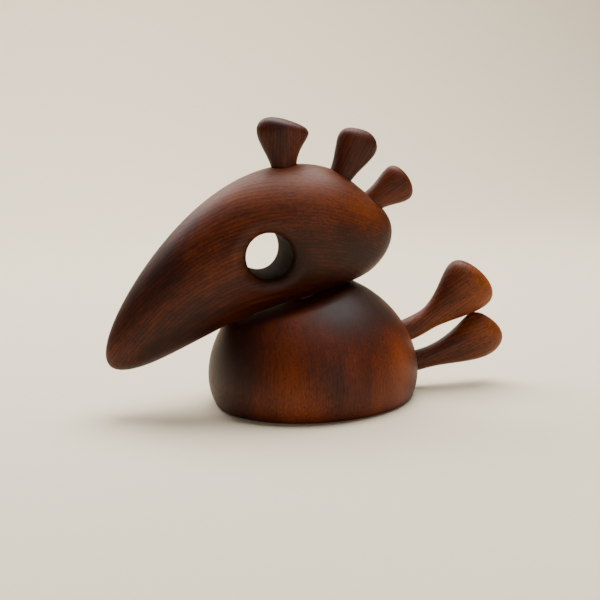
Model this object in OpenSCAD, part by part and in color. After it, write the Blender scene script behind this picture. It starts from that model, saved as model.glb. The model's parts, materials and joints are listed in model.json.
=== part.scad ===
// A carved wooden bird: a domed body, a long drooping head with a hole for its eye,
// three crest feathers and two tail feathers. The beak points along -X, the tail along +X,
// and the bird is symmetric about the plane y = 0. The origin is the middle of the flat base.

/* [Body] */
// Radius of the dome at its widest level
dome_r = 65; // [60:0.5:70]
// Height of the widest level above the base
dome_waist_z = 16.5; // [12:0.5:20]
// Height that the whole dome would have, before the seat is cut
dome_top_z = 78.5; // [76:0.5:82]
// Radius of the flat base
base_r = 60; // [56:0.5:62]
// Fullness of the dome: 2 is an ellipse, less is more pointed
dome_fullness = 1.9; // [1.8:0.02:2.2]
// Rounding of the base's edge
base_round = 0.9; // [0.5:0.1:2]

/* [Neck] */
// Slope of the seat that the head stands on, down towards the beak
seat_slope = 15; // [12:1:17]
// Height of the seat's plane on the Z axis
seat_z = 65.5; // [65:0.1:66.4]
// Gap between the head's flat and the seat
seat_gap = 0.2; // [0.1:0.05:0.4]
// Distance from the Z axis to where the dowel leaves the seat, towards the beak
dowel_x = 2; // [0:0.5:3]
// Radius of the neck dowel
dowel_r = 7; // [5:0.5:7]
// Length of the dowel that is glued into the body
dowel_in_body = 22; // [16:1:26]
// Length of the dowel that the head turns on
dowel_in_head = 15; // [12:1:15]
// Radial running clearance of the dowel in the head
dowel_clearance = 0.05; // [0.02:0.01:0.1]

/* [Head] */
// Half heights that fill out the beak, the middle and the back of the head
head_half_heights = [42, 41, 42]; // [38:1:44]
// Half thicknesses that fill out the beak, the middle and the back of the head
head_half_widths = [32, 36, 33]; // [30:1:38]
// Radius of the eye's hole
eye_r = 14; // [12:0.5:15]
// Width of the dish carved around each end of the eye's hole
eye_dish_width = 9.5; // [4:0.5:10]
// Depth of the dish, from the thickest part of the head
eye_dish_depth = 8; // [2:0.5:9]

/* [Feathers] */
// Depth of the feathers' round roots in their sockets
root_depth = 13; // [8:1:14]
// Gap for glue around each root
glue_gap = 0.05; // [0.02:0.01:0.1]
// Thickness of a paddle as a share of its width
paddle_flatness = 0.6; // [0.5:0.02:0.8]

/* [Hidden] */
$fn = 96;

// Centre line of the head from beak to back, as the four points of a Bezier curve, [x, z].
head_spine = [[-124, 31], [-4, 140.5], [-3, 90], [52.5, 107]];
eye_at = [-27.5, 94];
eye_half_length = 45;
head_rings = 40;
head_sides = 36;

// Each feather: the three points of its centre line [x, z], the radius of its root, the half width
// of its paddle, the shares of its length at which the paddle starts and is full, and the bluntness
// of its end.
front_feather = [[[-11, 137], [-14, 160], [-10, 172.5]], 7.5, 16.5, 0.1, 0.8, 10];
middle_feather = [[[20, 132.5], [36, 158], [38, 163.5]], 7, 17, 0, 0.75, 2];
rear_feather = [[[40, 119], [56, 128], [65, 133.5]], 7, 14, 0, 0.9, 5];
upper_feather = [[[61.5, 37.5], [83.5, 44.5], [110.5, 71]], 7, 25.5, 0.25, 1.2, 11];
lower_feather = [[[62, 16.5], [104, 23], [119, 38]], 6.5, 15.5, 0.1, 0.8, 10];
// The share of its length by which a paddle is fully flat
flat_by = 0.6;
paddle_rings = 20;
paddle_sides = 24;

walnut = [0.33, 0.15, 0.07];
mahogany = [0.42, 0.19, 0.08];
beech = [0.76, 0.6, 0.4];

function bezier(points, t) =
    len(points) == 1
        ? points[0]
        : bezier([for (i = [1 : len(points) - 1]) points[i - 1] * (1 - t) + points[i] * t], t);

function bezier_direction(points, t) =
    let (steps = [for (i = [1 : len(points) - 1]) points[i] - points[i - 1]], slope = bezier(steps, t))
    slope / norm(slope);

// Rings crowd together towards both ends, where the shape closes.
function eased(i, count) = (1 - cos(180 * i / count)) / 2;
function smooth_step(x) = let (c = min(max(x, 0), 1)) c * c * (3 - 2 * c);

// A ring around the centre line at t, half_height up and down and half_width to each side.
function ring(spine, t, half_height, half_width, sides) =
    let (centre = bezier(spine, t), along = bezier_direction(spine, t))
    [for (j = [0 : sides - 1])
        let (angle = 360 * j / sides, up = half_height * cos(angle))
        [centre.x - along.y * up, half_width * sin(angle), centre.y + along.x * up]];

function head_fill(t, amounts) = 2 * sqrt(t * (1 - t)) * bezier(amounts, t);

function root_radius(feather) = feather[1];

function paddle_half_width(feather, t) =
    let (root = root_radius(feather), full = feather[2], start = feather[3], end = feather[4])
    (root + (full - root) * smooth_step((t - start) / (end - start))) * sqrt(1 - pow(t, feather[5]));

// The root is round, and the paddle flattens as it leaves it.
function paddle_half_thickness(feather, t) =
    paddle_half_width(feather, t) * (1 - (1 - paddle_flatness) * smooth_step(t / flat_by));

// Closes a stack of rings with a point at each end.
module skin(rings, first, last) {
    sides = len(rings[0]);
    count = len(rings);
    points = [first, for (one = rings) for (p = one) p, last];
    tail = len(points) - 1;
    start_cap = [for (j = [0 : sides - 1]) [0, 1 + (j + 1) % sides, 1 + j]];
    end_cap = [for (j = [0 : sides - 1])
        [tail, 1 + (count - 1) * sides + j, 1 + (count - 1) * sides + (j + 1) % sides]];
    walls = [for (i = [0 : count - 2]) for (j = [0 : sides - 1])
        let (a = 1 + i * sides + j, b = 1 + i * sides + (j + 1) % sides)
        each [[a, b, b + sides], [a, b + sides, a + sides]]];
    polyhedron(points = points, faces = concat(start_cap, walls, end_cap));
}

// Places its children with z = 0 on the seat and +Z along the neck's axis.
module on_seat() {
    translate([-dowel_x, 0, seat_z - dowel_x * tan(seat_slope)])
        rotate([0, -seat_slope, 0])
            children();
}

// Places its children at the start of a feather, with +Z along it.
module on_root(feather) {
    root = feather[0][0];
    along = bezier_direction(feather[0], 0);
    translate([root.x, 0, root.y])
        rotate([0, atan2(along.x, along.y), 0])
            children();
}

// Half of the dome's outline, from the middle of the base round to the top.
module dome() {
    upper_steps = 24;
    lower_steps = 8;
    base_edge = [base_r + base_round, base_round];
    rounded = [for (a = [90 : -15 : 15]) base_edge + base_round * [cos(a) - 1, -sin(a)]];
    lower = [for (i = [lower_steps : -1 : 1])
        let (z = dome_waist_z + (base_round - dome_waist_z) * i / lower_steps)
        [dome_r - (dome_r - base_edge.x) * pow(1 - (z - base_round) / (dome_waist_z - base_round), 2), z]];
    upper = [for (i = [0 : upper_steps])
        let (a = 90 * i / upper_steps)
        [dome_r * pow(cos(a), 2 / dome_fullness),
         dome_waist_z + (dome_top_z - dome_waist_z) * pow(sin(a), 2 / dome_fullness)]];
    rotate_extrude()
        polygon(concat([[0, 0]], rounded, lower, upper));
}

module root_socket(feather) {
    on_root(feather)
        translate([0, 0, -root_depth])
            cylinder(r = root_radius(feather) + glue_gap, h = 3 * root_depth);
}

module body() {
    seat_block = 4 * dome_r;
    color(walnut)
        difference() {
            dome();
            on_seat()
                translate([-seat_block / 2, -seat_block / 2, 0])
                    cube([seat_block, seat_block, dome_top_z]);
            on_seat()
                translate([0, 0, -dowel_in_body])
                    cylinder(r = dowel_r, h = 2 * dowel_in_body);
            root_socket(upper_feather);
            root_socket(lower_feather);
        }
}

module neck_dowel() {
    chamfer = 1;
    color(beech)
        on_seat()
            rotate_extrude()
                polygon([
                    [0, -dowel_in_body],
                    [dowel_r - chamfer, -dowel_in_body],
                    [dowel_r, chamfer - dowel_in_body],
                    [dowel_r, dowel_in_head - chamfer],
                    [dowel_r - chamfer, dowel_in_head],
                    [0, dowel_in_head]
                ]);
}

module head_block() {
    rings = [for (i = [1 : head_rings - 1])
        let (t = eased(i, head_rings))
        ring(head_spine, t, head_fill(t, head_half_heights), head_fill(t, head_half_widths), head_sides)];
    beak = head_spine[0];
    back = head_spine[3];
    skin(rings, [beak.x, 0, beak.y], [back.x, 0, back.y]);
}

// The hole's wall is straight, and a dish opens around each end of it, steepest at its inner edge.
module eye_hole() {
    rim = head_fill(0.5, head_half_widths);
    steps = 8;
    dish = [for (i = [0 : steps])
        let (share = i / steps)
        [eye_r + eye_dish_width * share, rim - eye_dish_depth * pow(1 - share, 2)]];
    half = concat(dish, [[eye_r + eye_dish_width, eye_half_length]]);
    mirrored = [for (i = [len(half) - 1 : -1 : 0]) [half[i].x, -half[i].y]];
    translate([eye_at.x, 0, eye_at.y])
        rotate([90, 0, 0])
            rotate_extrude()
                polygon(concat([[0, -eye_half_length]], mirrored, half, [[0, eye_half_length]]));
}

// What is planed off the head's underside: level over the seat, then falling away to meet the beak.
module head_flat() {
    level_r = 54;
    rim_r = 94;
    rim_drop = 7.6;
    depth = 20;
    on_seat()
        translate([0, 0, seat_gap])
            rotate_extrude()
                polygon([[0, 0], [level_r, 0], [rim_r, -rim_drop], [rim_r, -depth], [0, -depth]]);
}

module head() {
    bore_end_gap = 1;
    color(mahogany)
        difference() {
            head_block();
            head_flat();
            on_seat()
                cylinder(r = dowel_r + dowel_clearance, h = dowel_in_head + bore_end_gap);
            eye_hole();
            root_socket(front_feather);
            root_socket(middle_feather);
            root_socket(rear_feather);
        }
}

// The paddle starts a little slimmer than the round root, which runs on into it.
module feather(shape) {
    first_slimness = 0.97;
    root_run_on = 0.5;
    rings = [for (i = [0 : paddle_rings - 1])
        let (share = i / paddle_rings,
            t = sin(90 * share),
            slimness = first_slimness + (1 - first_slimness) * smooth_step(4 * share))
        ring(shape[0], t, slimness * paddle_half_width(shape, t),
            slimness * paddle_half_thickness(shape, t), paddle_sides)];
    root = shape[0][0];
    tip = shape[0][2];
    color(mahogany) {
        skin(rings, [root.x, 0, root.y], [tip.x, 0, tip.y]);
        on_root(shape)
            translate([0, 0, -root_depth])
                cylinder(r = root_radius(shape), h = root_depth + root_run_on);
    }
}

module crest_feather_front() { feather(front_feather); }
module crest_feather_middle() { feather(middle_feather); }
module crest_feather_rear() { feather(rear_feather); }
module tail_feather_upper() { feather(upper_feather); }
module tail_feather_lower() { feather(lower_feather); }

body();
neck_dowel();
head();
crest_feather_front();
crest_feather_middle();
crest_feather_rear();
tail_feather_upper();
tail_feather_lower();
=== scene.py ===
"""A carved wooden bird: a domed body, a long head with a hole for its eye, and paddle-shaped feathers.

Each piece is cut out of a block of numbers: a field that is negative inside the wood, with its
edges softened as sandpaper softens them. Its skin is then drawn as a fine mesh of even squares.
Lengths are in metres.
"""

import json
import math
from collections import namedtuple

import bpy
import numpy as np
from mathutils import Matrix, Vector


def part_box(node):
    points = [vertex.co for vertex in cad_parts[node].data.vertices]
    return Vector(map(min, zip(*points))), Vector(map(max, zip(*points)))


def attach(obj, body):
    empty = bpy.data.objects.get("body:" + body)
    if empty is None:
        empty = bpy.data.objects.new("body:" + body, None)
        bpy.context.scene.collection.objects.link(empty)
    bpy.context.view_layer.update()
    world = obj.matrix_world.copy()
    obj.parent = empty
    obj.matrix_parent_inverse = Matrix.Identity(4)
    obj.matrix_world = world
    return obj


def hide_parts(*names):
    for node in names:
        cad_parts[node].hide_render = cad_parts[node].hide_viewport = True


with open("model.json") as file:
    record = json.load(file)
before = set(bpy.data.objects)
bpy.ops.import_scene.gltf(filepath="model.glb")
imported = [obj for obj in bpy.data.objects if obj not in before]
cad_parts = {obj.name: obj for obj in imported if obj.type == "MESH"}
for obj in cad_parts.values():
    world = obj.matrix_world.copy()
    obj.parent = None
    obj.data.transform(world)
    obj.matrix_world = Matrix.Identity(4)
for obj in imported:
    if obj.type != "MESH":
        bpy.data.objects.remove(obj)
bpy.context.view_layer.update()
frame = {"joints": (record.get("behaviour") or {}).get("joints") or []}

neck = frame["joints"][0]
SEAT_POINT = np.array(neck["pos_m"], float)
SEAT_NORMAL = np.array(neck["axis"], float)

DOME_R = 0.065
DOME_WAIST_Z = 0.0165
DOME_TOP_Z = 0.0785
DOME_BASE_R = 0.0609
DOME_FULLNESS = 1.9

HEAD_SPINE = ((-0.124, 0.031), (-0.004, 0.1405), (-0.003, 0.09), (0.0525, 0.107))
HEAD_HALF_HEIGHTS = (0.042, 0.041, 0.042)
HEAD_HALF_WIDTHS = (0.032, 0.036, 0.033)
EYE_AT = (-0.0275, 0.094)
EYE_R = 0.014
EYE_DISH_WIDTH = 0.0095
EYE_DISH_DEPTH = 0.0055

DOWEL_R = 0.007
DOWEL_IN_BODY = 0.022
DOWEL_IN_HEAD = 0.015
BORE_END_GAP = 0.001
SEAT_GAP = 0.0002
ROOT_DEPTH = 0.013
PADDLE_FLATNESS = 0.6
PADDLE_FLAT_BY = 0.6

# The gap around the dowel where the head turns on it, and around each glued root.
FIT_GAP = 0.00005

# How far an edge is rounded over: by hand sanding, at the base, and where a hole is drilled.
SANDED = 0.0025
BASE_EDGE = 0.002
ROOT_EDGE = 0.001
SOCKET_EDGE = 0.0008
BORE_EDGE = 0.0005

# Each feather's centre line is three points in x and z. Its paddle starts and is full at these
# shares of the line, and the larger the bluntness the squarer its end.
Feather = namedtuple("Feather", "line root_r paddle_r start full bluntness")
FEATHERS = {
    "crest_feather_front": Feather(
        ((-0.011, 0.137), (-0.014, 0.16), (-0.01, 0.1725)), 0.0075, 0.0165, 0.1, 0.8, 10),
    "crest_feather_middle": Feather(
        ((0.02, 0.1325), (0.036, 0.158), (0.038, 0.1635)), 0.007, 0.017, 0.0, 0.75, 2),
    "crest_feather_rear": Feather(
        ((0.04, 0.119), (0.056, 0.128), (0.065, 0.1335)), 0.007, 0.014, 0.0, 0.9, 5),
    "tail_feather_upper": Feather(
        ((0.0615, 0.0375), (0.0835, 0.0445), (0.1105, 0.071)), 0.007, 0.0255, 0.25, 1.2, 11),
    "tail_feather_lower": Feather(
        ((0.062, 0.0165), (0.104, 0.023), (0.119, 0.038)), 0.0065, 0.0155, 0.1, 0.8, 10),
}
CREST = ("crest_feather_front", "crest_feather_middle", "crest_feather_rear")
TAIL = ("tail_feather_upper", "tail_feather_lower")


# ---- curves ----

def bezier(points, t):
    """The points at t on the Bezier curve with these control points, one row for each t."""
    points = [np.asarray(p, float) for p in points]
    t = np.asarray(t, float)[..., None]
    while len(points) > 1:
        points = [a * (1 - t) + b * t for a, b in zip(points, points[1:])]
    return points[0] * np.ones_like(t)


def bezier_slope(points, t):
    steps = [(len(points) - 1) * (np.subtract(b, a)) for a, b in zip(points, points[1:])]
    return bezier(steps, t)


def extended(points, t):
    """The curve and its slope at t, carried on straight past both of its ends."""
    inside = np.clip(t, 0, 1)
    slope = bezier_slope(points, inside)
    return bezier(points, inside) + slope * (t - inside)[..., None], slope


def smooth_step(x):
    c = np.clip(x, 0, 1)
    return c * c * (3 - 2 * c)


def along_spine(spine, x, z):
    """How far along the spine each point of the mirror plane lies, and how far off it."""
    samples = np.linspace(-0.6, 1.4, 401)
    curve, _ = extended(spine, samples)
    here = np.stack([x.ravel(), z.ravel()], -1)
    t = np.empty(len(here))
    batch = 20000
    for start in range(0, len(here), batch):
        part = here[start:start + batch]
        gaps = ((part[:, None, :] - curve[None, :, :]) ** 2).sum(-1)
        t[start:start + batch] = samples[gaps.argmin(1)]
    rounds = 4
    nudge = 1e-4
    longest_step = 0.01
    for _ in range(rounds):
        point, slope = extended(spine, t)
        _, next_slope = extended(spine, t + nudge)
        bend = (next_slope - slope) / nudge
        off = point - here
        error = (off * slope).sum(-1)
        steepness = np.maximum((slope * slope).sum(-1) + (off * bend).sum(-1), 1e-5)
        t = t - np.clip(error / steepness, -longest_step, longest_step)
    point, slope = extended(spine, t)
    along = slope / np.linalg.norm(slope, axis=-1, keepdims=True)
    off = here - point
    side = off[:, 1] * along[:, 0] - off[:, 0] * along[:, 1]
    return t.reshape(x.shape), side.reshape(x.shape)


# ---- fields: negative inside the wood, and roughly a distance near its surface ----

class Block:
    """A grid of points over a box, at which fields are worked out. The margin shifts the grid, so that
    no two sheets of the surface pinch together at one of its points."""

    def __init__(self, box, step, margin):
        low, high = (np.array(corner, float) for corner in box)
        self.low = low - margin
        self.step = step
        count = np.ceil((high + margin - self.low) / step).astype(int) + 1
        axes = [self.low[i] + step * np.arange(count[i]) for i in range(3)]
        self.x = axes[0][:, None, None]
        self.y = axes[1][None, :, None]
        self.z = axes[2][None, None, :]

    def even(self, field):
        """The same surface, with the field rescaled to change by one metre per metre."""
        slopes = np.gradient(field, self.step)
        steepness = np.sqrt(sum(s * s for s in slopes))
        return field / np.maximum(steepness, 1e-6)

    def seat_height(self):
        """Height above the sloping seat."""
        offsets = (self.x - SEAT_POINT[0], self.y - SEAT_POINT[1], self.z - SEAT_POINT[2])
        return sum(o * n for o, n in zip(offsets, SEAT_NORMAL))

    def neck_radius(self):
        """Distance from the neck's axis."""
        offsets = (self.x - SEAT_POINT[0], self.y - SEAT_POINT[1], self.z - SEAT_POINT[2])
        return np.sqrt(np.maximum(sum(o * o for o in offsets) - self.seat_height() ** 2, 0))


def smooth_max(a, b, softness):
    """The larger of two fields, with the edge between them rounded over."""
    share = np.clip(0.5 + 0.5 * (a - b) / softness, 0, 1)
    return b * (1 - share) + a * share + softness * share * (1 - share)


def root_line(name):
    """Where a feather's centre line starts, and its direction there, in the mirror plane."""
    line = FEATHERS[name].line
    start = np.array(line[0])
    along = np.subtract(line[1], line[0])
    return start, along / np.linalg.norm(along)


def socket(block, name):
    """Positive inside the round socket drilled for a feather's root."""
    start, along = root_line(name)
    depth = (block.x - start[0]) * along[0] + (block.z - start[1]) * along[1]
    side = (block.z - start[1]) * along[0] - (block.x - start[0]) * along[1]
    radius = FEATHERS[name].root_r + FIT_GAP
    wall = radius - np.sqrt(side ** 2 + block.y ** 2)
    return np.minimum(wall, depth + ROOT_DEPTH + FIT_GAP)


def dowel_bore(block, depth_up, depth_down, radius):
    """Positive inside a bore along the neck's axis."""
    height = block.seat_height()
    return np.minimum(radius - block.neck_radius(), np.minimum(depth_up - height, height + depth_down))


def dome_field(block):
    radius = np.sqrt(block.x ** 2 + block.y ** 2)
    rise = np.maximum(block.z - DOME_WAIST_Z, 0) / (DOME_TOP_Z - DOME_WAIST_Z)
    drop = np.maximum(1 - block.z / DOME_WAIST_Z, 0)
    reach = DOME_R - (DOME_R - DOME_BASE_R) * drop ** 2
    return block.even((radius / reach) ** DOME_FULLNESS + rise ** DOME_FULLNESS - 1)


def body_field(block):
    field = smooth_max(dome_field(block), -block.z + 0 * block.x, BASE_EDGE)
    field = smooth_max(field, block.seat_height(), SANDED)
    bore = dowel_bore(block, DOWEL_IN_HEAD, DOWEL_IN_BODY, DOWEL_R)
    field = smooth_max(field, bore, BORE_EDGE)
    for name in TAIL:
        field = smooth_max(field, socket(block, name), SOCKET_EDGE)
    return field


def head_block_field(block):
    t, side = along_spine(HEAD_SPINE, block.x + 0 * block.z, block.z + 0 * block.x)
    inside = np.clip(t, 0, 1)
    half_height = bezier([(h,) for h in HEAD_HALF_HEIGHTS], inside)[..., 0]
    half_width = bezier([(w,) for w in HEAD_HALF_WIDTHS], inside)[..., 0]
    return block.even((side / half_height) ** 2 + (block.y / half_width) ** 2 - 4 * t * (1 - t))


def head_flat(block):
    """What is planed off the underside: level over the seat, then falling away to meet the beak."""
    level_r = 0.054
    fall = 0.19
    drop = fall * np.maximum(block.neck_radius() - level_r, 0)
    return SEAT_GAP - drop - block.seat_height()


def head_field(block):
    eye_distance = np.sqrt((block.x - EYE_AT[0]) ** 2 + (block.z - EYE_AT[1]) ** 2)
    dish = EYE_DISH_DEPTH * np.clip(1 - (eye_distance - EYE_R) / EYE_DISH_WIDTH, 0, 1) ** 2
    field = smooth_max(head_block_field(block) + dish, EYE_R - eye_distance, SANDED)
    field = smooth_max(field, head_flat(block), SANDED)
    bore = dowel_bore(block, DOWEL_IN_HEAD + BORE_END_GAP, DOWEL_IN_BODY, DOWEL_R + FIT_GAP)
    field = smooth_max(field, bore, BORE_EDGE)
    for name in CREST:
        field = smooth_max(field, socket(block, name), SOCKET_EDGE)
    return field


def feather_field(block, name):
    shape = FEATHERS[name]
    t, side = along_spine(shape.line, block.x + 0 * block.z, block.z + 0 * block.x)
    swell = smooth_step((t - shape.start) / (shape.full - shape.start))
    half_width = shape.root_r + (shape.paddle_r - shape.root_r) * swell
    half_thickness = half_width * (1 - (1 - PADDLE_FLATNESS) * smooth_step(t / PADDLE_FLAT_BY))
    closing = np.maximum(t, 0) ** shape.bluntness
    paddle = block.even((side / half_width) ** 2 + (block.y / half_thickness) ** 2 - 1 + closing)
    origin, along = root_line(name)
    depth = (block.x - origin[0]) * along[0] + (block.z - origin[1]) * along[1]
    return smooth_max(paddle, -depth - ROOT_DEPTH, ROOT_EDGE)


# ---- from a field to a mesh ----

def edge_crossings(field, axis):
    """Which grid edges along an axis cross the surface, and where on them."""
    near = [slice(None)] * 3
    far = [slice(None)] * 3
    near[axis] = slice(None, -1)
    far[axis] = slice(1, None)
    a = field[tuple(near)]
    b = field[tuple(far)]
    crosses = (a < 0) != (b < 0)
    span = np.where(crosses, a - b, 1)
    return crosses, np.where(crosses, a / span, 0), a < 0


def skin(field, low, step):
    """Vertices and four-sided faces of the surface where the field is zero. Each cell that the
    surface crosses has one vertex."""
    cells = tuple(n - 1 for n in field.shape)
    total = np.zeros(cells + (3,), np.float32)
    count = np.zeros(cells, np.float32)
    edges = []
    for axis in range(3):
        crosses, share, starts_inside = edge_crossings(field, axis)
        edges.append((crosses, starts_inside))
        others = [a for a in range(3) if a != axis]
        for first in (0, 1):
            for second in (0, 1):
                cut = [slice(None)] * 3
                cut[others[0]] = slice(first, first + cells[others[0]])
                cut[others[1]] = slice(second, second + cells[others[1]])
                hit = crosses[tuple(cut)]
                count += hit
                total[..., axis] += share[tuple(cut)]
                total[..., others[0]] += hit * first
                total[..., others[1]] += hit * second
    used = count > 0
    numbers = np.full(cells, -1, np.int64)
    numbers[used] = np.arange(used.sum())
    corner = np.argwhere(used)
    points = low + step * (corner + total[used] / count[used][:, None])

    faces = []
    for axis in range(3):
        crosses, starts_inside = edges[axis]
        others = [a for a in range(3) if a != axis]
        inner = [slice(None)] * 3
        inner[others[0]] = slice(1, -1)
        inner[others[1]] = slice(1, -1)
        at = np.argwhere(crosses[tuple(inner)])
        out = starts_inside[tuple(inner)][tuple(at.T)]
        if axis == 1:
            out = ~out
        around = []
        for first, second in ((0, 0), (1, 0), (1, 1), (0, 1)):
            cell = at.copy()
            cell[:, others[0]] += first
            cell[:, others[1]] += second
            around.append(numbers[tuple(cell.T)])
        quads = np.stack(around, 1)
        quads[~out] = quads[~out][:, ::-1]
        faces.append(quads)
    return points, np.concatenate(faces)


def read_between(grid, place):
    """The grid's values at places between its points, blended from the eight around each."""
    base = np.clip(np.floor(place).astype(int), 0, np.array(grid.shape[:3]) - 2)
    share = place - base
    value = 0
    for dx in (0, 1):
        for dy in (0, 1):
            for dz in (0, 1):
                weight = np.ones(len(place))
                for axis, step in enumerate((dx, dy, dz)):
                    weight = weight * (share[:, axis] if step else 1 - share[:, axis])
                value = value + weight * grid[base[:, 0] + dx, base[:, 1] + dy, base[:, 2] + dz]
    return value


def settle(points, field, low, step):
    """Moves each vertex onto the surface along the field's slope."""
    rounds = 3
    slopes = np.gradient(field, step)
    for _ in range(rounds):
        place = (points - low) / step
        value = read_between(field, place)
        slope = np.stack([read_between(s, place) for s in slopes], 1)
        points = points - slope * (value / np.maximum((slope ** 2).sum(1), 1e-4))[:, None]
    return points


def mesh_object(name, points, faces):
    """A new object in the scene. Its four-sided faces are shaded smooth, and any others flat."""
    mesh = bpy.data.meshes.new(name)
    mesh.from_pydata(points, [], faces)
    mesh.polygons.foreach_set("use_smooth", [len(face) == 4 for face in faces])
    mesh.update()
    made = bpy.data.objects.new(name, mesh)
    bpy.context.scene.collection.objects.link(made)
    return made


def carve(name, block, field):
    field = np.ascontiguousarray(field, dtype=np.float32)
    points, faces = skin(field, block.low, block.step)
    points = settle(points, field, block.low, block.step)
    return mesh_object(name, points.tolist(), faces.tolist())


def fluted_dowel(name):
    """A turned dowel: fluted where it is glued, smooth where the head turns on it, with bevelled ends."""
    sides = 96
    flutes = 12
    flute_depth = 0.0005
    flutes_end = -0.11 * DOWEL_IN_BODY
    bevel = 0.001
    heights = [-DOWEL_IN_BODY, -DOWEL_IN_BODY + bevel / 2, -DOWEL_IN_BODY + bevel]
    heights += [-DOWEL_IN_BODY * share for share in (0.8, 0.6, 0.4, 0.2, 0.12, 0.1)]
    heights += [0, DOWEL_IN_HEAD / 2, DOWEL_IN_HEAD - bevel, DOWEL_IN_HEAD - bevel / 2, DOWEL_IN_HEAD]
    up = Vector(SEAT_NORMAL)
    across = Vector((0, 1, 0))
    forward = across.cross(up)
    points = []
    for height in heights:
        end_gap = min(height + DOWEL_IN_BODY, DOWEL_IN_HEAD - height)
        inset = max(bevel - end_gap, 0)
        centre = Vector(SEAT_POINT) + up * height
        for j in range(sides):
            angle = 2 * math.pi * j / sides
            groove = flute_depth * max(math.cos(flutes * angle), 0) ** 2 if height < flutes_end else 0
            radius = DOWEL_R - inset - groove
            offset = across * (radius * math.cos(angle)) + forward * (radius * math.sin(angle))
            points.append(centre + offset)
    faces = []
    for i in range(len(heights) - 1):
        for j in range(sides):
            k = (j + 1) % sides
            faces.append((i * sides + j, (i + 1) * sides + j, (i + 1) * sides + k, i * sides + k))
    faces.append(tuple(range(sides)))
    faces.append(tuple(reversed(range((len(heights) - 1) * sides, len(heights) * sides))))
    return mesh_object(name, points, faces)


# ---- wood ----

# Each palette holds a wood's dark, middle and light colours.
DARK = (0.014, 0.0022, 0.0005)
HEAD_PALETTE = (DARK, (0.062, 0.0075, 0.0002), (0.21, 0.042, 0.0015))
BODY_PALETTE = (DARK, (0.07, 0.0085, 0.0002), (0.225, 0.039, 0.001))
CREST_PALETTE = (DARK, (0.058, 0.007, 0.0003), (0.16, 0.03, 0.0015))
TAIL_PALETTE = (DARK, (0.095, 0.0145, 0.0005), (0.27, 0.06, 0.003))
# The eye hole's wall: dark end grain, darkened further as painted shade inside the hole.
BORE_END_GRAIN_AND_SHADE_PALETTE = ((0.006, 0.001, 0.0002), (0.014, 0.004, 0.001), (0.034, 0.01, 0.003))
BEECH_PALETTE = ((0.40, 0.26, 0.14), (0.58, 0.41, 0.24), (0.70, 0.53, 0.34))

# Each patch of lighter golden colour or of painted shade has a centre and a radius.
Patch = namedtuple("Patch", "centre radius")
# Painted highlight: the crown is lighter and golden where light falls on the top of the head.
CROWN_PAINTED_HIGHLIGHTS = [Patch((0, -0.012, 0.13), 0.045), Patch((0.034, -0.02, 0.122), 0.03)]
# Painted shade: the beak and the nape face away from the light and are darkened, and so is the dish around
# the eye.
BEAK_PAINTED_SHADE = Patch((-0.09, -0.015, 0.052), 0.065)
NAPE_PAINTED_SHADE = Patch((0.037, -0.03, 0.09), 0.045)
EYE_DISH_PAINTED_SHADE = Patch((-0.02, -0.03, 0.092), 0.03)
# The first two patches are painted bounce light, lighter low on the dome's front where light comes up from
# the floor. The third is a golden figure on the back.
DOME_FIGURE_AND_PAINTED_BOUNCE_LIGHT = [
    Patch((-0.02, -0.06, 0.01), 0.03),
    Patch((0.045, -0.045, 0.03), 0.036),
    Patch((0.01, 0.06, 0.025), 0.04),
]
# Painted shade: darker on the dome's left side, away from the light, and on its front under the head.
DOME_PAINTED_SHADE = [Patch((-0.062, -0.03, 0.04), 0.035), Patch((0.03, -0.04, 0.06), 0.04)]

MM_PER_METRE = 1000


class Nodes:
    """A short way to write a node tree: each method adds a node and gives back its output."""

    def __init__(self, material):
        material.use_nodes = True
        self.tree = material.node_tree
        self.tree.nodes.clear()

    def add(self, kind, inputs=(), **settings):
        node = self.tree.nodes.new(kind)
        for key, value in settings.items():
            setattr(node, key, value)
        for key, value in dict(inputs).items():
            if isinstance(value, bpy.types.NodeSocket):
                self.tree.links.new(value, node.inputs[key])
            else:
                node.inputs[key].default_value = value
        return node

    def math(self, operation, a, b=0.0):
        return self.add("ShaderNodeMath", {0: a, 1: b}, operation=operation).outputs[0]

    def vector(self, operation, a, b=(0, 0, 0)):
        return self.add("ShaderNodeVectorMath", {0: a, 1: b}, operation=operation).outputs[0]

    def noise(self, place, stretch, detail=3.0, roughness=0.5):
        """Noise whose lumps are about 1 / stretch long in each direction: its value and its colour."""
        place = self.vector("MULTIPLY", place, stretch)
        inputs = {"Vector": place, "Scale": 1.0, "Detail": detail, "Roughness": roughness}
        return self.add("ShaderNodeTexNoise", inputs).outputs

    def between(self, value, low, high):
        """0 at low, 1 at high, smooth in between."""
        inputs = {"Value": value, "From Min": low, "From Max": high}
        return self.add("ShaderNodeMapRange", inputs, interpolation_type="SMOOTHSTEP").outputs[0]

    def mix(self, share, a, b):
        """Colour a at a share of 0, b at 1."""
        return self.add("ShaderNodeMix", {0: share, 6: a, 7: b}, data_type="RGBA").outputs[2]

    def ramp(self, value, stops):
        node = self.add("ShaderNodeValToRGB", {0: value})
        node.color_ramp.interpolation = "B_SPLINE"
        for place, colour in stops[1:-1]:
            node.color_ramp.elements.new(place).color = colour
        node.color_ramp.elements[0].position, node.color_ramp.elements[0].color = stops[0]
        node.color_ramp.elements[-1].position, node.color_ramp.elements[-1].color = stops[-1]
        return node.outputs[0]

    def surface(self, inputs):
        shader = self.add("ShaderNodeBsdfPrincipled", inputs)
        self.add("ShaderNodeOutputMaterial", {"Surface": shader.outputs[0]})


def with_alpha(palette):
    return [tuple(colour) + (1,) for colour in palette]


def patch_strength(nodes, place, patches):
    """1 at each patch's centre, fading to 0 at its radius."""
    total = 0.0
    for centre, radius in patches:
        distance = nodes.add("ShaderNodeVectorMath", {0: place, 1: centre}, operation="DISTANCE").outputs[1]
        total = nodes.math("MAXIMUM", nodes.between(distance, radius, 0.0), total)
    return total


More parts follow.
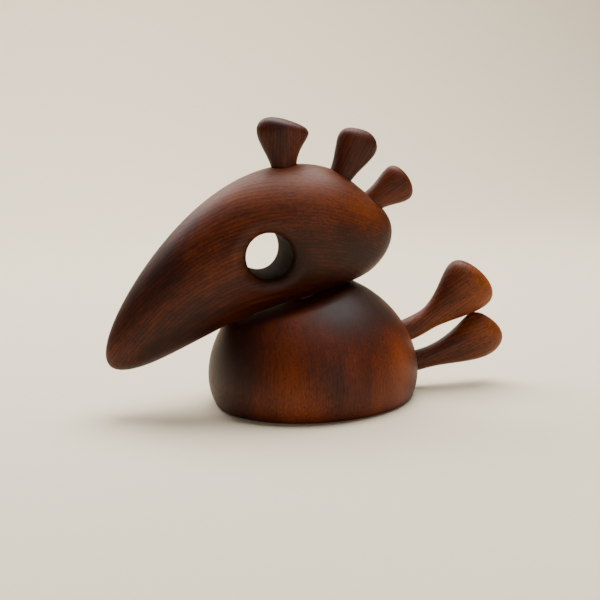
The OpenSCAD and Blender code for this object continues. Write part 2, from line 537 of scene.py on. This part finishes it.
def grain_place(nodes, metres, along, layers, start, arch):
    """Each point's place in the wood's own frame, in mm: along the grain, through the growth layers,
    and across. The frame wanders a little, as grain does."""
    first = Vector(along).normalized()
    second = Vector(layers)
    second = (second - first * second.dot(first)).normalized()
    turn = Matrix((first, second, first.cross(second))).to_euler()
    mapping_inputs = {"Vector": metres, "Rotation": turn, "Scale": (MM_PER_METRE,) * 3}
    local = nodes.add("ShaderNodeMapping", mapping_inputs, vector_type="POINT").outputs[0]
    local = nodes.vector("ADD", local, start)

    most_wander = (0, 7, 7)
    wander = nodes.noise(local, (0.008, 0.03, 0.03), detail=2.0)[1]
    wander = nodes.vector("SUBTRACT", wander, (0.5, 0.5, 0.5))
    wander = nodes.vector("MULTIPLY", wander, most_wander)
    split = nodes.add("ShaderNodeSeparateXYZ", {0: nodes.vector("ADD", local, wander)})
    length, through, across = split.outputs
    bend = nodes.math("MULTIPLY", nodes.math("MULTIPLY", length, length), arch)
    through = nodes.math("ADD", through, bend)
    return nodes.add("ShaderNodeCombineXYZ", {0: length, 1: through, 2: across}).outputs[0], through


def growth_lines(nodes, grain, through, layer_gap):
    """1 where each growth layer starts, falling to 0 at its dark late wood."""
    waviness = 1.8
    late_sharpness = 2.5
    wave = nodes.noise(grain, (0.01, 0.12, 0.06), detail=2.0)[0]
    ring = nodes.math("DIVIDE", through, layer_gap)
    ring = nodes.math("ADD", ring, nodes.math("MULTIPLY", wave, waviness))
    late_wood = nodes.math("POWER", nodes.math("FRACT", ring), late_sharpness)
    return nodes.math("SUBTRACT", 1.0, late_wood)


def wood(name, along, layers, palette, start=(0, 0, 0), layer_gap=2.4, arch=0.0, lines=0.13,
         streaks=0.34, golden_patches=(), painted_shade_patches=(), polish=0.44):
    """Oiled hardwood. along is the grain's direction, layers the direction through its growth layers,
    and palette its dark, middle and light colours. start shifts the pattern in mm, so that each block
    has its own, and arch bends the layers along the grain. lines and streaks are the strengths of the
    growth lines and of the broad streaks. The golden patches lighten the colour, and on the crown and
    low on the dome's front they are painted highlight and painted bounce light. The shade patches
    darken it as painted shade."""
    material = bpy.data.materials.new(name)
    nodes = Nodes(material)
    metres = nodes.add("ShaderNodeTexCoord").outputs["Object"]
    grain, through = grain_place(nodes, metres, along, layers, start, arch)
    line = growth_lines(nodes, grain, through, layer_gap)
    streak = nodes.noise(grain, (0.012, 0.3, 0.3))[0]
    fibre = nodes.noise(grain, (0.07, 1.6, 1.6), roughness=0.65)[0]
    pore = nodes.between(nodes.noise(grain, (0.25, 2.4, 2.4), detail=1.0)[0], 0.58, 0.70)
    fleck = nodes.between(nodes.noise(grain, (0.35, 1.1, 1.1), detail=2.0)[0], 0.46, 0.66)
    cloud = nodes.noise(grain, (0.012, 0.03, 0.03), detail=2.0)[0]
    # Golden patches, which are painted highlight and painted bounce light on the crown and the dome's
    # front, and patches of painted shade.
    golden_patch = patch_strength(nodes, metres, golden_patches)
    painted_shade = patch_strength(nodes, metres, painted_shade_patches)

    # Each part of the pattern shifts the tone as it departs from its usual value.
    parts = [
        (line, 0.71, lines),
        (streak, 0.5, streaks),
        (fibre, 0.5, 0.36),
        (cloud, 0.5, 0.7),
        # Painted shade: darkens the tone inside each shade patch.
        (painted_shade, 0, -0.19),
    ]
    tone = 0.48
    for part, usual, strength in parts:
        change = nodes.math("MULTIPLY", nodes.math("SUBTRACT", part, usual), strength)
        tone = nodes.math("ADD", tone, change)
    dark, middle, light = with_alpha(palette)
    colour = nodes.ramp(tone, [(0.3, dark), (0.5, middle), (0.74, light)])
    # Lighter golden colour in the golden patches. On the crown and the dome's front this is painted
    # highlight and painted bounce light.
    glow = nodes.math("MULTIPLY", golden_patch, nodes.math("ADD", nodes.math("MULTIPLY", fleck, 0.6), 0.22))
    colour = nodes.mix(glow, colour, light)
    colour = nodes.mix(nodes.math("MULTIPLY", pore, 0.55), colour, dark)

    unevenness = 0.14
    rough = nodes.math("ADD", polish, nodes.math("MULTIPLY", fibre, unevenness))
    rough = nodes.math("ADD", rough, nodes.math("MULTIPLY", pore, unevenness))
    height = nodes.math("SUBTRACT", nodes.math("MULTIPLY", fibre, 0.5), nodes.math("MULTIPLY", pore, 0.6))
    bump = nodes.add("ShaderNodeBump", {"Height": height, "Strength": 0.3, "Distance": 0.0002})
    nodes.surface({
        "Base Color": colour,
        "Roughness": rough,
        "Normal": bump.outputs[0],
        "Specular IOR Level": 0.25,
    })
    return material


def bore_end_grain_and_painted_shade(name):
    """The wall of the eye's hole: cut across the grain and never polished, so it is dark and dull, and
    darkened further as painted shade inside the hole.
    """
    material = bpy.data.materials.new(name)
    nodes = Nodes(material)
    metres = nodes.add("ShaderNodeTexCoord").outputs["Object"]
    scoring = nodes.noise(metres, (120, 1400, 120), detail=2.0)[0]
    cloud = nodes.noise(metres, (90, 90, 90), detail=2.0)[0]
    tone = nodes.math("MULTIPLY", nodes.math("ADD", scoring, cloud), 0.5)
    dark, middle, light = with_alpha(BORE_END_GRAIN_AND_SHADE_PALETTE)
    bump = nodes.add("ShaderNodeBump", {"Height": scoring, "Strength": 0.4, "Distance": 0.0002})
    nodes.surface({
        "Base Color": nodes.ramp(tone, [(0.35, dark), (0.5, middle), (0.65, light)]),
        "Roughness": 0.9,
        "Normal": bump.outputs[0],
        "Specular IOR Level": 0.1,
    })
    return material


# ---- pieces ----

def finish_piece(piece, node, body, material):
    piece.data.materials.append(material)
    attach(piece, body)
    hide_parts(node)


def make_body():
    block = Block(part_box("body"), step=0.0009, margin=0.0042)
    piece = carve("body_carving", block, body_field(block))
    # The golden patches low on the dome's front are painted bounce light, and the shade patches are painted
    # shade.
    material = wood("body_oiled_wood", (0.06, 0.05, 1), (1, 0.2, 0), BODY_PALETTE, start=(40, 7, 3),
                    lines=0.04, streaks=0.16, golden_patches=DOME_FIGURE_AND_PAINTED_BOUNCE_LIGHT, painted_shade_patches=DOME_PAINTED_SHADE)
    finish_piece(piece, "body", "body", material)


def make_head():
    block = Block(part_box("head"), step=0.0008, margin=0.0038)
    piece = carve("head_carving", block, head_field(block))
    # The crown's golden patches are painted highlight, and the beak, nape and eye dish get painted shade.
    material = wood("head_oiled_wood", (1, 0, 0.25), (-0.25, 0.3, 1), HEAD_PALETTE, start=(20, 23, 31),
                    arch=0.004, golden_patches=CROWN_PAINTED_HIGHLIGHTS, painted_shade_patches=[BEAK_PAINTED_SHADE, NAPE_PAINTED_SHADE, EYE_DISH_PAINTED_SHADE])
    finish_piece(piece, "head", "head", material)
    # The hole's wall is dark end grain, deepened as painted shade.
    piece.data.materials.append(bore_end_grain_and_painted_shade("bore_end_grain_and_painted_shade"))
    drilled = len(piece.data.materials) - 1
    wall_r = EYE_R + 0.0004
    for face in piece.data.polygons:
        if math.hypot(face.center.x - EYE_AT[0], face.center.z - EYE_AT[1]) < wall_r:
            face.material_index = drilled


def make_dowel():
    piece = fluted_dowel("neck_dowel_turned")
    material = wood("dowel_bare_wood", SEAT_NORMAL, (0, 1, 0), BEECH_PALETTE, layer_gap=1.6, polish=0.5)
    finish_piece(piece, "neck_dowel", "body", material)


def make_feather(name, number, body, palette, golden_patches=()):
    """number picks the part of the wood's pattern that the feather is cut from."""
    block = Block(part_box(name), step=0.00045, margin=0.0027)
    piece = carve(name + "_carving", block, feather_field(block, name))
    line = FEATHERS[name].line
    run_x, run_z = np.subtract(line[2], line[0])
    start = [number * shift for shift in (17, 5, 29)]
    material = wood(name + "_oiled_wood", (run_x, 0, run_z), (-run_z, 0, run_x), palette,
                    start=start, layer_gap=2.0, golden_patches=golden_patches)
    finish_piece(piece, name, body, material)


def make_feathers():
    for number, name in enumerate(CREST):
        make_feather(name, number, "head", CREST_PALETTE)
    for number, name in enumerate(TAIL, len(CREST)):
        tip_x, tip_z = FEATHERS[name].line[2]
        golden_patch = Patch((tip_x, -0.01, tip_z), 0.03)
        make_feather(name, number, "body", TAIL_PALETTE, golden_patches=[golden_patch])


# ---- room ----

def make_stage():
    """A pale floor that curves up into a backdrop."""
    front = -1.6
    bend_y = 0.75
    bend_r = 0.5
    bend_steps = 16
    top = 1.6
    half_width = 2.2
    profile = [(front, 0.0)]
    for i in range(bend_steps + 1):
        angle = math.pi / 2 * i / bend_steps
        profile.append((bend_y + bend_r * math.sin(angle), bend_r * (1 - math.cos(angle))))
    profile.append((bend_y + bend_r, top))
    points = [(x, y, z) for y, z in profile for x in (-half_width, half_width)]
    faces = [(2 * i, 2 * i + 1, 2 * i + 3, 2 * i + 2) for i in range(len(profile) - 1)]
    floor = mesh_object("floor", points, faces)
    material = bpy.data.materials.new("pale_floor")
    nodes = Nodes(material)
    nodes.surface({"Base Color": (0.84, 0.73, 0.55, 1), "Roughness": 0.7, "Specular IOR Level": 0.3})
    floor.data.materials.append(material)


def area_light(name, place, size, power, colour):
    """A soft panel that faces the middle of the bird."""
    middle = Vector((0, 0, 0.08))
    light = bpy.data.lights.new(name, "AREA")
    light.shape = "RECTANGLE"
    light.size, light.size_y = size
    light.energy = power
    light.color = colour
    lamp = bpy.data.objects.new(name, light)
    lamp.location = place
    lamp.rotation_euler = (middle - Vector(place)).to_track_quat("-Z", "Y").to_euler()
    bpy.context.scene.collection.objects.link(lamp)


def make_lights():
    area_light("ceiling_panel", (0.25, 0.3, 1.25), size=(1.2, 0.9), power=39, colour=(1.0, 0.99, 0.97))
    area_light("back_panel", (-0.6, 0.9, 1.0), size=(0.8, 0.5), power=13, colour=(1.0, 0.99, 0.98))
    area_light("front_fill", (0.4, -1.4, 0.4), size=(1.0, 0.7), power=4.5, colour=(1.0, 0.93, 0.85))
    world = bpy.data.worlds.new("room")
    world.use_nodes = True
    background = world.node_tree.nodes["Background"]
    background.inputs[0].default_value = (0.9, 0.93, 0.95, 1)
    background.inputs[1].default_value = 0.06
    bpy.context.scene.world = world


def make_camera():
    """Looks slightly down on the bird's right side, with the beak a little nearer."""
    azimuth = math.radians(-10.5)
    pitch = math.radians(10.5)
    roll = math.radians(-2.75)
    distance = 0.738
    aim = Vector((-0.006, 0, 0.062))
    ahead = Vector((-math.sin(azimuth), math.cos(azimuth), 0))
    level = Vector((math.cos(azimuth), math.sin(azimuth), 0))
    forward = ahead * math.cos(pitch) - Vector((0, 0, math.sin(pitch)))
    upright = level.cross(forward)
    right = level * math.cos(roll) + upright * math.sin(roll)
    up = upright * math.cos(roll) - level * math.sin(roll)
    camera = bpy.data.objects.new("camera", bpy.data.cameras.new("camera"))
    camera.data.lens = 72
    camera.data.sensor_width = 36
    rotation = Matrix((right, up, -forward)).transposed()
    camera.matrix_world = Matrix.Translation(aim - forward * distance) @ rotation.to_4x4()
    bpy.context.scene.collection.objects.link(camera)
    bpy.context.scene.camera = camera


make_camera()
make_lights()
make_stage()
make_body()
make_head()
make_dowel()
make_feathers()
